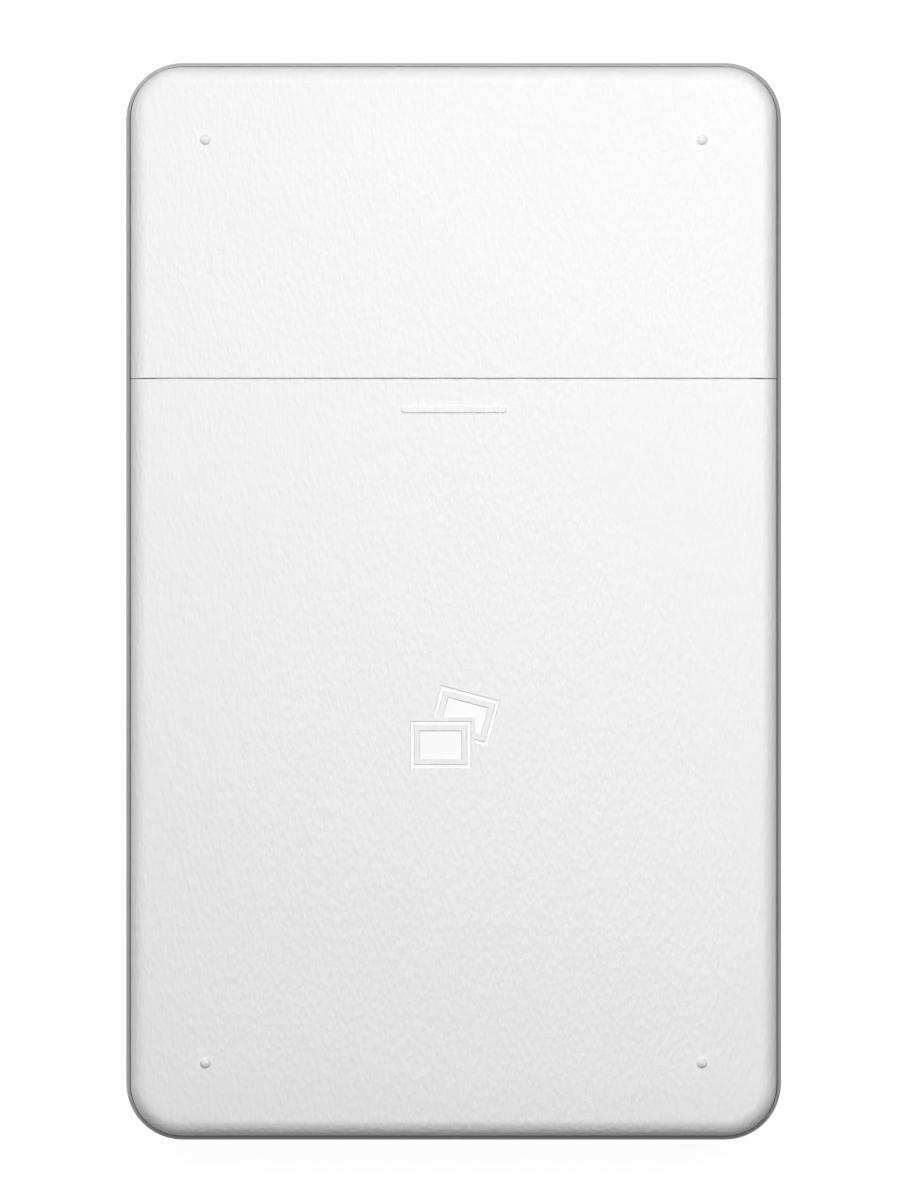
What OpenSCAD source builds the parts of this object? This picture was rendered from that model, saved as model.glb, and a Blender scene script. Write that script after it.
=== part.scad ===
// Compact photo printer for small pre-coated photo sheets, with a hinged paper cover.
// +X is the printer's width, +Y its length towards the end the print comes out of,
// +Z its thickness towards the cover. It lies on its flat front face at z = 0.

/* [Housing] */
// Width over the band
body_w = 73; // [73:0.5:90]
// Length over the band
body_l = 120; // [120:0.5:145]
// Thickness without the pips
body_t = 20; // [20:0.5:25]
// How far the band stands out from the shells
band_proud = 0.6; // [0.4:0.1:1]
// Height of the band
band_h = 3; // [3:0.5:4]
// Radius of the band's bead
band_r = 1.2; // [0.6:0.1:1.4]
// Depth of the band from its outer face inwards
band_t = 2.3; // [2:0.1:2.6]
// Height of the front shell
shell_h = 9; // [9:0.5:12]
// Plan corner radius of the band
corner_r = 6.3; // [5.2:0.1:8]
// Edge radius of the front shell
front_r = 2.6; // [2:0.1:4]
// Edge radius of the cover and the back panel
back_r = 1.8; // [1.6:0.1:4]
// Wall of the front shell
wall = 1.5; // [1.2:0.1:1.8]
// Wall of the cover and the back panel
cover_wall = 1.4; // [1.2:0.1:1.6]
// Length of the fixed back panel
panel_l = 34.6; // [34:0.2:40]
// Seam between the cover and the panel
seam_gap = 0.1; // [0.08:0.01:0.3]
// Depth of the lap joint under the seam
seam_lap = 0.7; // [0.5:0.1:1]
// Thickness of the cover's flap over the lap
seam_flap = 0.5; // [0.4:0.05:0.7]
// Gap under the cover's edge
cover_lift = 0.15; // [0.1:0.05:0.3]
// Height of the ribs inside the cover
cover_rib_h = 0.6; // [0.3:0.1:0.7]
// Bevel along the seam
seam_bevel = 0.08; // [0.04:0.02:0.4]

/* [Cover details] */
// Length of the thumb ridge
ridge_l = 11.7; // [8:0.1:20]
// Width of the thumb ridge
ridge_w = 0.72; // [0.5:0.02:1.5]
// Height of the thumb ridge
ridge_h = 0.22; // [0.1:0.02:0.6]
// Edge radius of the thumb ridge
ridge_edge_r = 0.14; // [0.05:0.01:0.2]
// Distance of the ridge from the cover's free edge
ridge_inset = 3.4; // [2:0.1:8]
// Radius of a pip
pip_r = 0.6; // [0.4:0.05:1]
// Height of a pip
pip_h = 0.45; // [0.3:0.05:0.8]
// Distance of the pips from the shell's sides
pip_inset_x = 8.3; // [7:0.1:12]
// Distance of the pips from the shell's ends
pip_inset_y = 8.1; // [7:0.1:12]

/* [Cover hinge] */
// Distance of the hinge axis from the cover's end face and lower edge
hinge_r = 3.2; // [3:0.1:3.6]
// Radius of a hinge pin
hinge_pin_r = 0.6; // [0.5:0.05:0.8]
// Radius of a hinge knuckle
knuckle_r = 1.6; // [1.3:0.1:1.7]
// Width of a hinge arm along the axis
arm_w = 2.8; // [2:0.1:3.5]
// Running clearance of a shaft in its bore
run_gap = 0.05; // [0.02:0.01:0.08]
// Side clearance between parts that turn
side_gap = 0.3; // [0.2:0.05:0.5]

/* [Paper tray] */
// Width of a sheet
paper_w = 50.8; // [42:0.1:54]
// Length of a sheet
paper_l = 76.2; // [60:0.1:78]
// Clearance beside a sheet
paper_gap = 0.5; // [0.3:0.1:1]
// Thickness of the tray floor
floor_t = 1.2; // [1:0.1:1.6]
// Thickness of the chassis ledge on the band
ledge_t = 1.4; // [1:0.1:1.6]
// Height of the guide rails
rail_h = 3; // [2:0.1:4]
// Width of the guide rails
rail_w = 1.3; // [1:0.1:1.5]
// Height of the runners under the sheets
runner_h = 0.25; // [0.1:0.05:0.3]
// Spacing of the ribs beside the guide rails
tray_rib_pitch = 9; // [6:0.5:12]

/* [Print mechanism] */
// Gear module
gear_m = 0.4; // [0.4:0.01:0.42]
// Width of a gear
gear_w = 1.5; // [1:0.1:1.6]
// Depth of the recess in a gear's face
web_d = 0.4; // [0.2:0.1:0.6]
// Backlash of each gear
gear_slack = 0.08; // [0.04:0.01:0.12]
// Thickness of the chassis side walls
side_t = 1.5; // [1.2:0.1:1.6]
// Radius of the platen rubber
platen_r = 3.8; // [3.4:0.1:4]
// Radius of the platen shaft
platen_shaft_r = 1.5; // [1.2:0.1:1.8]
// Radius of the pick tyre
pick_r = 3.5; // [3:0.1:3.6]
// Width of the pick tyre
pick_w = 20; // [12:1:24]
// Radius of the thin shafts
shaft_r = 1; // [0.8:0.05:1.1]
// Radius of the exit tyres
exit_r = 2.4; // [2:0.1:2.5]
// Radius of the pinch rollers
pinch_r = 1.6; // [1.4:0.1:1.8]
// Gap between the rollers at rest
nip_gap = 0.1; // [0.05:0.05:0.3]
// Diameter of the motor
motor_d = 8; // [6:0.5:8]
// Length of the motor
motor_l = 16; // [10:0.5:20]

/* [Electronics] */
// Battery size along X
battery_w = 35; // [30:1:36]
// Battery size along Y
battery_l = 50; // [40:1:52]
// Battery thickness
battery_t = 7.6; // [5:0.1:7.8]
// Circuit board thickness
board_t = 1; // [0.8:0.1:1.6]
// Height of the board above the shell's floor
board_lift = 2; // [1.5:0.1:2.5]
// Width of the charging port
port_w = 7.5; // [7:0.1:9]
// Height of the charging port
port_h = 2.5; // [2.4:0.1:3.2]
// Corner radius of the charging port
port_r = 0.8; // [0.4:0.1:1.1]

/* [Buttons] */
// Length of the power button
button_l = 8; // [6:0.5:10]
// Height of the power button
button_h = 2.4; // [2:0.1:3]
// How far the power button stands out
button_proud = 0.4; // [0.2:0.1:0.6]
// Clearance round the button
button_gap = 0.15; // [0.1:0.05:0.3]

/* [Hidden] */
$fn = 64;
eps = 0.01;
big = 200;

// Outline of the shells inside the proud band
shell_w = body_w - 2 * band_proud;
shell_l = body_l - 2 * band_proud;
shell_cr = corner_r - band_proud;
end_y = shell_l / 2;
side_x = shell_w / 2;
band_top = shell_h + band_h;
cover_z = band_top + cover_lift;
roof_z = body_t - cover_wall;
seam_y = end_y - panel_l;
cover_edge_y = seam_y - seam_gap;
inner_x = side_x - wall;
cover_inner_x = side_x - cover_wall;

// Lap joint under the cover's free edge
lap_x = side_x - back_r - 1;
lap_gap = 0.1;
lap_y = cover_edge_y - seam_lap - seam_gap;
lip_w = 0.8;

// Hinge axis, along X
hinge_y = -end_y + hinge_r;
hinge_z = cover_z + hinge_r;
arm_x = cover_inner_x - 6.9;
knuckle_x = arm_x + arm_w + side_gap;
arm_foot_y = hinge_y + hinge_r + 0.5;
arm_foot_l = 3.6;

// Paper tray
ledge_z = shell_h + ledge_t;
tray_z = ledge_z + floor_t;
paper_y1 = cover_edge_y - 1.2;
paper_y0 = paper_y1 - paper_l;
rail_x = paper_w / 2 + paper_gap;
gate_t = 0.8;
gate_y = paper_y1 + 0.3;
gate_x = rail_x + rail_w;
gate_slot = 1.1;
stop_t = 0.8;
stop_y = paper_y0 - 0.2 - stop_t;
stop_h = 1.5;
stop_x = rail_x - 5.9;
rail_y0 = stop_y + 1.2;
plate_edge_y = seam_y - 14;

// Slot that the print comes out of
exit_x = paper_w / 2 + 1.5;
exit_slot_h = 1.8;
exit_flare = 0.4;

// Side walls of the mechanism
frame_x = gate_x + 0.3;
frame_out = frame_x + side_t;
frame_z0 = wall + 1.5;
frame_y0 = seam_y - 12.4;
frame_y1 = end_y - 3.4;
layer_b0 = frame_out + 0.2;
layer_b1 = layer_b0 + gear_w;
layer_a0 = layer_b1 + 0.2;
layer_a1 = layer_a0 + gear_w - 0.1;
plate_x0 = layer_a1 + 0.2;
gear_plate_t = 0.6;

// Shaft centres [y, z], worked back from the seam
pick_c = [seam_y - 7.9, tray_z + 0.3 - pick_r];
platen_c = [seam_y + 13.1, tray_z + 0.8 - platen_r];
exit_c = [seam_y + 26.6, tray_z + 0.8 - exit_r];
pinch_c = exit_c + [0, exit_r + nip_gap + pinch_r];
motor_c = [seam_y + 3.1, wall + 0.3 + motor_d / 2];
motor_shaft_r = 0.5;
motor_boss_r = 1.2;
pinch_shaft_r = 0.7;
pinch_l = 6;
exit_l = 8;

// Teeth of the gears
motor_n = 10;
drive_big_n = 24;
drive_small_n = 12;
platen_n = 28;
exit_idler_n = 12;
exit_n = 18;
pick_idler_n = 18;
pick_n = 24;

// Centre of a gear that meshes with gears of na teeth at a and nb teeth at b
function norm2(v) = sqrt(v[0] * v[0] + v[1] * v[1]);
function meet(a, b, ra, rb, side) =
    let (d = norm2(b - a), u = (b - a) / d, s = (ra * ra - rb * rb + d * d) / (2 * d))
    let (h = sqrt(ra * ra - s * s))
    a + s * u + side * h * [-u[1], u[0]];
function mesh_r(na, nb) = gear_m * (na + nb) / 2;
drive_c = meet(motor_c, platen_c, mesh_r(motor_n, drive_big_n), mesh_r(drive_small_n, platen_n), 1);
exit_idler_c = meet(platen_c, exit_c, mesh_r(platen_n, exit_idler_n), mesh_r(exit_idler_n, exit_n), -1);
pick_idler_c = meet(drive_c, pick_c, mesh_r(drive_small_n, pick_idler_n), mesh_r(pick_idler_n, pick_n), -1);

// Rest angle of gear b so that its gaps meet the teeth of gear a, turned by ta
function heading(a, b) = atan2(b[1] - a[1], b[0] - a[0]);
function mesh_turn(a, b, ta, na, nb) =
    let (phi = heading(a, b))
    phi + 180 + ((phi - ta) * na + 180) / nb;
platen_turn = 0;
drive_small_turn = mesh_turn(platen_c, drive_c, platen_turn, platen_n, drive_small_n);
motor_turn = mesh_turn(drive_c, motor_c, drive_small_turn, drive_big_n, motor_n);
exit_idler_turn = mesh_turn(platen_c, exit_idler_c, platen_turn, platen_n, exit_idler_n);
exit_turn = mesh_turn(exit_idler_c, exit_c, exit_idler_turn, exit_idler_n, exit_n);
pick_idler_turn = mesh_turn(drive_c, pick_idler_c, drive_small_turn, drive_small_n, pick_idler_n);
pick_turn = mesh_turn(pick_idler_c, pick_c, pick_idler_turn, pick_idler_n, pick_n);

// Print head
head_pin_r = 0.8;
head_pin_c = [platen_c[0] - 7, tray_z + 3.2];
head_z = tray_z + 0.8 + nip_gap;
head_strip_t = 0.9;
head_x = paper_w / 2 + 0.4;
head_plate_z = head_z + head_strip_t;
head_plate_t = 2;
head_y0 = platen_c[0] - 3.6;
head_y1 = platen_c[0] + 6;
spring_x = head_x - 9.8;
head_spring_r = 1.9;
post_r = 0.6;
bush_r = platen_shaft_r + 0.8;

// Pressure plate in the cover
plate_t = 0.8;
plate_z = roof_z - 2.2;
plate_x = paper_w / 2 - 3.4;
plate_pin_r = 0.6;
plate_pin_z = plate_z + plate_t + 0.5;
plate_pin_y = seam_y - 50.8;
plate_y0 = plate_pin_y + 1;
plate_y1 = seam_y - 4;
plate_lug_w = 2;
plate_lug_gap = 0.2;
plate_spring_y = pick_c[0] - 6;
plate_spring_r = 2.2;
pad_t = 0.25;

// Screws
screw_r = 0.75;
screw_head_r = 1.3;
screw_head_h = 0.7;
boss_r = 2.2;
boss_x = side_x - 4.4;
boss_low_y = -end_y + 14.4;
boss_high_y = seam_y - 18.9;
end_boss_x = frame_x - 3.5;
end_boss_y = end_y - 3.8;
end_boss_r = 1.9;
foot_z = ledge_z + 0.6;
tab_z = roof_z - 2.4;
tab_t = 1;
tab_screw_y = seam_y - 2.5;
tab_screw_x = frame_out - 1.2;
tab_x0 = tab_screw_x - 2.3;
tab_x1 = tab_screw_x + 2.3;

// Electronics
board_z = wall - 0.1 + board_lift;
board_top = board_z + board_t;
board_x0 = 11.5;
board_x1 = inner_x - 5.4;
board_y0 = -end_y + 3.2;
board_y1 = frame_y0 - 0.4;
tongue_x0 = -17;
tongue_l = 6.2;
battery_x0 = board_x0 - 1.4 - battery_w;
battery_y0 = board_y0 + tongue_l + 0.9;
battery_z = wall + 0.1;
port_x = 20;
port_l = 5;
port_shell = 0.3;
port_gap = 0.2;
port_y0 = -end_y + 0.7;
button_x = -3;
button_z = 6.2;
reset_x = 7;
reset_hole_r = 0.5;
light_r = 0.6;
light_xs = [-14, -11];
switch_d = 1.6;

// ---- Shape helpers ----

// Extrudes a [y, z] profile along X
module along_x(x0, x1) {
    translate([x0, 0, 0])
        rotate([90, 0, 90])
            linear_extrude(x1 - x0)
                children();
}

// Extrudes an [x, z] profile along Y
module along_y(y0, y1) {
    translate([0, y1, 0])
        rotate([90, 0, 0])
            linear_extrude(y1 - y0)
                children();
}

module rod_x(r, x0, x1, c) {
    translate([x0, c[0], c[1]])
        rotate([0, 90, 0])
            cylinder(r = r, h = x1 - x0);
}

module block(x0, x1, y0, y1, z0, z1) {
    translate([x0, y0, z0])
        cube([x1 - x0, y1 - y0, z1 - z0]);
}

// Draws its children on both sides of the middle
module both_sides() {
    children();
    mirror([1, 0, 0])
        children();
}

// Rectangle standing on z0, with lower corners of radius rb and upper ones of radius rt
module rounded_profile(w, z0, z1, rb, rt) {
    translate([-w / 2, z0 + rb])
        square([w, z1 - z0 - rb - rt]);
    if (rb > 0) {
        translate([rb - w / 2, z0])
            square([w - 2 * rb, rb]);
        for (x = [rb - w / 2, w / 2 - rb])
            translate([x, z0 + rb])
                circle(rb);
    }
    if (rt > 0) {
        translate([rt - w / 2, z1 - rt])
            square([w - 2 * rt, rt]);
        for (x = [rt - w / 2, w / 2 - rt])
            translate([x, z1 - rt])
                circle(rt);
    }
}

// Slab with round plan corners rc and round lower and upper edges rb and rt
module slab(w, l, z0, z1, rc, rb, rt) {
    along_y(rc - l / 2, l / 2 - rc)
        rounded_profile(w, z0, z1, rb, rt);
    along_x(rc - w / 2, w / 2 - rc)
        rounded_profile(l, z0, z1, rb, rt);
    for (q = [0:3]) {
        sx = (q == 0 || q == 3) ? 1 : -1;
        sy = q < 2 ? 1 : -1;
        translate([sx * (w / 2 - rc), sy * (l / 2 - rc), 0])
            rotate(90 * q)
                rotate_extrude(angle = 90)
                    intersection() {
                        rounded_profile(2 * rc, z0, z1, rb, rt);
                        translate([0, z0 - 1])
                            square([2 * rc, z1 - z0 + 2]);
                    }
    }
}

module tube_x(r_out, r_in, x0, x1, c) {
    difference() {
        rod_x(r_out, x0, x1, c);
        rod_x(r_in, x0 - 1, x1 + 1, c);
    }
}

// Pill-shaped outline, centred
module pill(l, h) {
    square([l - h, h], center = true);
    for (x = [h - l, l - h])
        translate([x / 2, 0])
            circle(h / 2);
}

// ---- Gears ----

pressure_angle = 20;
addendum = 0.7 * gear_m;
dedendum = 1 * gear_m;
flank_steps = 3;
function inv_deg(a) = tan(a) * 180 / PI - a;
// Half of the angle that a tooth fills at radius r
function half_tooth(n, r) =
    let (rp = gear_m * n / 2, rb = rp * cos(pressure_angle))
    let (half = (PI * gear_m / 2 - gear_slack) / 2 / rp * 180 / PI)
    half + inv_deg(pressure_angle) - inv_deg(acos(min(1, rb / max(r, rb))));
function polar(r, a) = [r * cos(a), r * sin(a)];
function flank(n, r0, r1) = [for (i = [0:flank_steps]) r0 + (r1 - r0) * i / flank_steps];
function gear_points(n) =
    let (rp = gear_m * n / 2, root = rp - dedendum, tip = rp + addendum)
    let (r0 = max(root, rp * cos(pressure_angle)), rs = flank(n, r0, tip))
    [for (k = [0:n - 1]) each concat(
        [polar(root, 360 * k / n - half_tooth(n, r0))],
        [for (r = rs) polar(r, 360 * k / n - half_tooth(n, r))],
        [for (i = [flank_steps:-1:0]) polar(rs[i], 360 * k / n + half_tooth(n, rs[i]))],
        [polar(root, 360 * k / n + half_tooth(n, r0))])];

// Spur gear on the left side, between x = -x1 and x = -x0, with its bore and a recess in its outer face
module spur(n, turn, c, x0, x1, bore) {
    rim_r = gear_m * n / 2 - dedendum - 0.7;
    hub_r = bore + 0.8;
    difference() {
        translate([0, c[0], c[1]])
            along_x(-x1, -x0)
                difference() {
                    rotate(turn)
                        polygon(gear_points(n));
                    circle(bore);
                }
        if (rim_r > hub_r + 0.6)
            difference() {
                rod_x(rim_r, -x1 - 1, web_d - x1, c);
                rod_x(hub_r, -x1 - 2, web_d - x1 + 1, c);
            }
    }
}

// ---- Springs ----

// One tube swept along a helix that stands on z = 0, with flat end turns
module coil(r, wire, h, turns) {
    sides = 6;
    steps = 12;
    n = turns * steps;
    function lift(i) =
        wire + (h - 2 * wire) * min(1, max(0, (i - steps / 2) / (n - steps)));
    ring = [for (i = [0:n], s = [0:sides - 1])
        let (a = 360 * i / steps, b = 360 * s / sides)
        [(r - wire + wire * cos(b)) * cos(a), (r - wire + wire * cos(b)) * sin(a),
            lift(i) + wire * sin(b)]];
    walls = [for (i = [0:n - 1], s = [0:sides - 1])
        let (a = i * sides + s, b = i * sides + (s + 1) % sides)
        [a, a + sides, b + sides, b]];
    tri = [for (f = walls) each [[f[0], f[1], f[2]], [f[0], f[2], f[3]]]];
    start = [for (s = [1:sides - 2]) [0, s, s + 1]];
    end = [for (s = [1:sides - 2]) [n * sides, n * sides + s + 1, n * sides + s]];
    polyhedron(ring, concat(tri, start, end));
}

// ---- Housing ----

// Outline of the charging port, grown by g
module port_outline(g) {
    translate([port_x, 0])
        rounded_profile(port_w + 2 * g, board_top - g, board_top + port_h + g, port_r + g, port_r + g);
}

module boss(r, x, y, z1) {
    translate([x, y, wall - 0.5])
        difference() {
            cylinder(r = r, h = z1 - wall + 0.5);
            translate([0, 0, 2])
                cylinder(r = screw_r, h = z1);
        }
}

module front_shell() {
    color("whitesmoke") {
        difference() {
            slab(shell_w, shell_l, 0, shell_h, shell_cr, front_r, 0);
            slab(shell_w - 2 * wall, shell_l - 2 * wall, wall, shell_h + 1, shell_cr - wall,
                front_r - wall, 0);
            // Charging port, power button and reset hole in the end wall
            along_y(-end_y - 1, -end_y + 6)
                port_outline(port_gap);
            along_y(-end_y - 1, -end_y + wall + 1)
                translate([button_x, button_z])
                    pill(button_l + 2 * button_gap, button_h + 2 * button_gap);
            translate([reset_x, -end_y - 1, button_z])
                rotate([-90, 0, 0])
                    cylinder(r = reset_hole_r, h = wall + 2);
            for (x = light_xs)
                translate([x, -end_y - 1, button_z])
                    rotate([-90, 0, 0])
                        cylinder(r = light_r, h = wall + 2);
        }
        both_sides() {
            boss(boss_r, boss_x, boss_low_y, ledge_z);
            boss(boss_r, boss_x, boss_high_y, ledge_z);
            boss(end_boss_r, end_boss_x, end_boss_y, ledge_z);
        }
        battery_ribs();
        board_posts();
    }
}

// Ribs that hold the battery at its ends and sides
module battery_ribs() {
    rib = 1;
    rib_h = 4;
    for (x = [battery_x0 - rib - 0.1, battery_x0 + battery_w + 0.1])
        block(x, x + rib, battery_y0 + 6, battery_y0 + battery_l - 6, wall - eps, wall + rib_h);
    y = battery_y0 + battery_l + 0.1;
    block(battery_x0 + 4, battery_x0 + battery_w - 4, y, y + rib, wall - eps, wall + rib_h);
}

module board_posts() {
    for (p = [[board_x0 + 2.4, board_y0 + 12], [board_x1 - 2, board_y0 + 20],
            [board_x0 + 2.4, board_y1 - 6], [board_x1 - 2, board_y1 - 9]])
        translate([p[0], p[1], wall - 0.5])
            cylinder(r = 1.2, h = board_z - wall + 0.5);
}

module mid_band() {
    in_w = body_w - 2 * band_t;
    in_l = body_l - 2 * band_t;
    color("silver")
        difference() {
            union() {
                difference() {
                    slab(body_w, body_l, shell_h, band_top, corner_r, band_r, band_r);
                    slab(in_w, in_l, shell_h - 1, band_top + 1, corner_r - band_t, 0, 0);
                }
                // Ledge that the chassis sits on
                difference() {
                    block(-in_w / 2 - eps, in_w / 2 + eps, -in_l / 2 - eps, seam_y - 16, shell_h, ledge_z);
                    block(1.2 - in_w / 2, in_w / 2 - 1.2, 1.2 - in_l / 2, end_y, shell_h - 1, big);
                    corner_clear(in_w, in_l);
                }
            }
            both_sides()
                for (y = [boss_low_y, boss_high_y])
                    translate([boss_x, y, shell_h - 1])
                        cylinder(r = boss_r + 0.2, h = ledge_t + 1 + eps);
        }
}

// Takes the ledge off the band's round corners
module corner_clear(in_w, in_l) {
    both_sides()
        block(in_w / 2 - 5, in_w, -in_l, 5 - in_l / 2, shell_h - 1, big);
}

// Upper shell before it is cut at the seam
module back_slab() {
    difference() {
        slab(shell_w, shell_l, band_top, body_t, shell_cr, 0, back_r);
        slab(shell_w - 2 * cover_wall, shell_l - 2 * cover_wall, band_top - 1, roof_z,
            shell_cr - cover_wall, 0, back_r - cover_wall);
    }
}

module pip(y) {
    both_sides()
        translate([side_x - pip_inset_x, y, body_t])
            rotate_extrude()
                intersection() {
                    translate([0, pip_h - dome_r])
                        circle(dome_r);
                    translate([0, -0.1])
                        square([pip_r, pip_h + 0.2]);
                }
}
dome_r = (pip_r * pip_r + pip_h * pip_h) / (2 * pip_h);

module bevel(y) {
    along_x(-side_x, side_x)
        translate([y, body_t])
            rotate(45)
                square(seam_bevel * sqrt(2), center = true);
}

module back_panel() {
    color("whitesmoke") {
        difference() {
            back_slab();
            block(-big, big, -big, seam_y, 0, big);
            bevel(seam_y);
            // Print exit slot, with the band's top as its sill
            block(-exit_x, exit_x, end_y - 5, end_y + 1, band_top - 1, band_top + exit_slot_h);
            along_x(-exit_x - exit_flare, exit_x + exit_flare)
                polygon([[end_y - exit_flare, band_top - 1], [end_y - exit_flare, band_top + exit_slot_h],
                    [end_y + eps, band_top + exit_slot_h + exit_flare], [end_y + 1, band_top - 1]]);
        }
        pip(end_y - pip_inset_y);
        // Tabs under the cover's free edge, screwed to the chassis
        both_sides()
            difference() {
                union() {
                    block(tab_x0, tab_x1, tab_screw_y - 2, seam_y + 3, tab_z, tab_z + tab_t);
                    block(tab_x0, tab_x1, seam_y + 0.4, seam_y + 2.2, tab_z, roof_z + eps);
                }
                translate([tab_screw_x, tab_screw_y, tab_z - 1])
                    cylinder(r = screw_r + 0.1, h = 4);
            }
        // Lap under the cover's free edge
        block(-lap_x, lap_x, cover_edge_y - seam_lap, seam_y + 1, roof_z - 0.1,
            body_t - seam_flap - lap_gap);
        // Spigots for the head springs
        both_sides()
            translate([spring_x, platen_c[0], roof_z - 1])
                cylinder(r = 1.1, h = 1 + eps);
    }
}

module paper_cover() {
    color("white")
        difference() {
            union() {
                difference() {
                    back_slab();
                    block(-big, big, cover_edge_y, big, 0, big);
                    bevel(cover_edge_y);
                    block(-big, big, -big, big, 0, cover_z);
                }
                pip(-end_y + pip_inset_y);
                thumb_ridge();
                // Stiffening lip between the panel's tabs
                block(-tab_x0, tab_x0, lap_y - lip_w, lap_y, roof_z - 1, roof_z + eps);
                both_sides() {
                    hinge_curl();
                    knuckle();
                    snap_rib();
                    plate_lug();
                }
                // Rings that hold the pressure plate's springs
                both_sides()
                    translate([spring_x, plate_spring_y, roof_z - 0.7])
                        cylinder(r = 1.2, h = 0.7 + eps);
                cover_ribs();
            }
            // Rebate over the panel's lap
            block(-lap_x - side_gap, lap_x + side_gap, lap_y, big, band_top, body_t - seam_flap);
            hinge_round();
            both_sides()
                rod_x(hinge_pin_r + run_gap, arm_x, cover_inner_x - 0.4, [hinge_y, hinge_z]);
            both_sides()
                rod_x(plate_pin_r + run_gap, plate_x, plate_x + plate_lug_gap + plate_lug_w + eps,
                    [plate_pin_y, plate_pin_z]);
        }
}

module cover_ribs() {
    z0 = roof_z - cover_rib_h;
    y0 = arm_foot_y + arm_foot_l + 2;
    y1 = cover_edge_y - 5;
    for (x = [-arm_x, -8, 8, arm_x - 1])
        block(x, x + 1, y0, y1, z0, roof_z + eps);
    for (y = [y0, plate_pin_y + 8, plate_spring_y - 6])
        block(-arm_x, arm_x, y, y + 1, z0, roof_z + eps);
}

module thumb_ridge() {
    translate([0, cover_edge_y - ridge_inset, 0])
        slab(ridge_l, ridge_w, body_t - cover_wall / 2, body_t + ridge_h, ridge_w / 2 - eps, 0, ridge_edge_r);
}

// Rounds the end wall's lower edge about the hinge axis
module hinge_round() {
    difference() {
        block(-big, big, -end_y - 1, hinge_y, cover_z - 1, hinge_z);
        rod_x(hinge_r, -big, big, [hinge_y, hinge_z]);
    }
}

// Keeps its children inside the middle of the cover's walls
module inside_cover() {
    intersection() {
        children();
        slab(shell_w - cover_wall, shell_l - cover_wall, band_top, roof_z + cover_wall / 2,
            shell_cr - cover_wall / 2, 0, back_r - cover_wall / 2);
    }
}

module knuckle() {
    inside_cover() {
        rod_x(knuckle_r, knuckle_x, side_x, [hinge_y, hinge_z]);
        block(knuckle_x, side_x, -end_y, hinge_y, hinge_z - 0.4, roof_z + eps);
        block(knuckle_x, side_x, hinge_y - eps, hinge_y + knuckle_r, hinge_z, roof_z + eps);
    }
}

// The end wall's lower edge curls in round the hinge axis, with a notch for each arm
module hinge_curl() {
    curl_y = hinge_y + hinge_r * cos(250);
    difference() {
        inside_cover()
            for (x = [[0, arm_x - side_gap], [knuckle_x, side_x]])
                block(x[0], x[1], -end_y, curl_y, cover_z, hinge_z);
        rod_x(hinge_r - cover_wall, -eps, big, [hinge_y, hinge_z]);
    }
}

// Rib with a bead that snaps under the chassis catch
snap_y0 = boss_high_y + 1.7;
snap_y1 = plate_edge_y - 0.3;
snap_bead_r = 0.45;
snap_bead_x = cover_inner_x - 0.8;
snap_bead_z = cover_z + 0.85;
catch_bead_z = snap_bead_z + 0.95;
module snap_rib() {
    block(snap_bead_x, cover_inner_x + eps, snap_y0, snap_y1, cover_z + 0.3, cover_z + 3.6);
    translate([snap_bead_x, snap_y0, snap_bead_z])
        rotate([-90, 0, 0])
            cylinder(r = snap_bead_r, h = snap_y1 - snap_y0);
}

module plate_lug() {
    x0 = plate_x + plate_lug_gap;
    along_x(x0, x0 + plate_lug_w) {
        translate([plate_pin_y, plate_pin_z])
            circle(1.3);
        translate([plate_pin_y - 1.3, plate_pin_z])
            square([2.6, roof_z - plate_pin_z + eps]);
    }
}

// ---- Chassis ----

// Runners that the sheets lie on, and ribs beside the guide rails
module tray_ribs() {
    for (x = [-17, 0, 17])
        block(x - 0.6, x + 0.6, paper_y0 + 4, pick_c[0] - pick_r - 2, tray_z - eps, tray_z + runner_h);
    both_sides()
        for (y = [boss_low_y + 6 : tray_rib_pitch : boss_high_y - 4])
            block(rail_x + rail_w - eps, cover_inner_x - 0.9, y, y + 0.8, tray_z - eps, tray_z + 1.2);
}

module catch_post() {
    x1 = snap_bead_x - snap_bead_r - 0.05;
    bead_r = 0.4;
    block(x1 - bead_r - 1.2, x1 - bead_r, snap_y0, snap_y1, tray_z - eps, catch_bead_z + 0.5);
    translate([x1 - bead_r, snap_y0, catch_bead_z])
        rotate([-90, 0, 0])
            cylinder(r = bead_r, h = snap_y1 - snap_y0);
}

module hinge_arm() {
    along_x(arm_x, arm_x + arm_w) {
        translate([hinge_y, hinge_z])
            circle(knuckle_r);
        translate([hinge_y, hinge_z - knuckle_r])
            square([arm_foot_y - hinge_y + arm_foot_l, 2 * knuckle_r]);
        translate([arm_foot_y, tray_z - eps])
            square([arm_foot_l, hinge_z - tray_z]);
    }
}

// Side wall outline, with the tray part low and the head part high
module side_outline() {
    translate([frame_y0, frame_z0])
        square([frame_y1 - frame_y0, ledge_z - frame_z0 + floor_t]);
    translate([tab_screw_y - 2, tray_z - eps])
        square([frame_y1 - tab_screw_y + 2, tab_z - tray_z + eps]);
}

module lower_guide(y0, y1) {
    block(-frame_x - eps, frame_x + eps, y0, y1, tray_z - 0.9, tray_z + 0.3);
}

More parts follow.
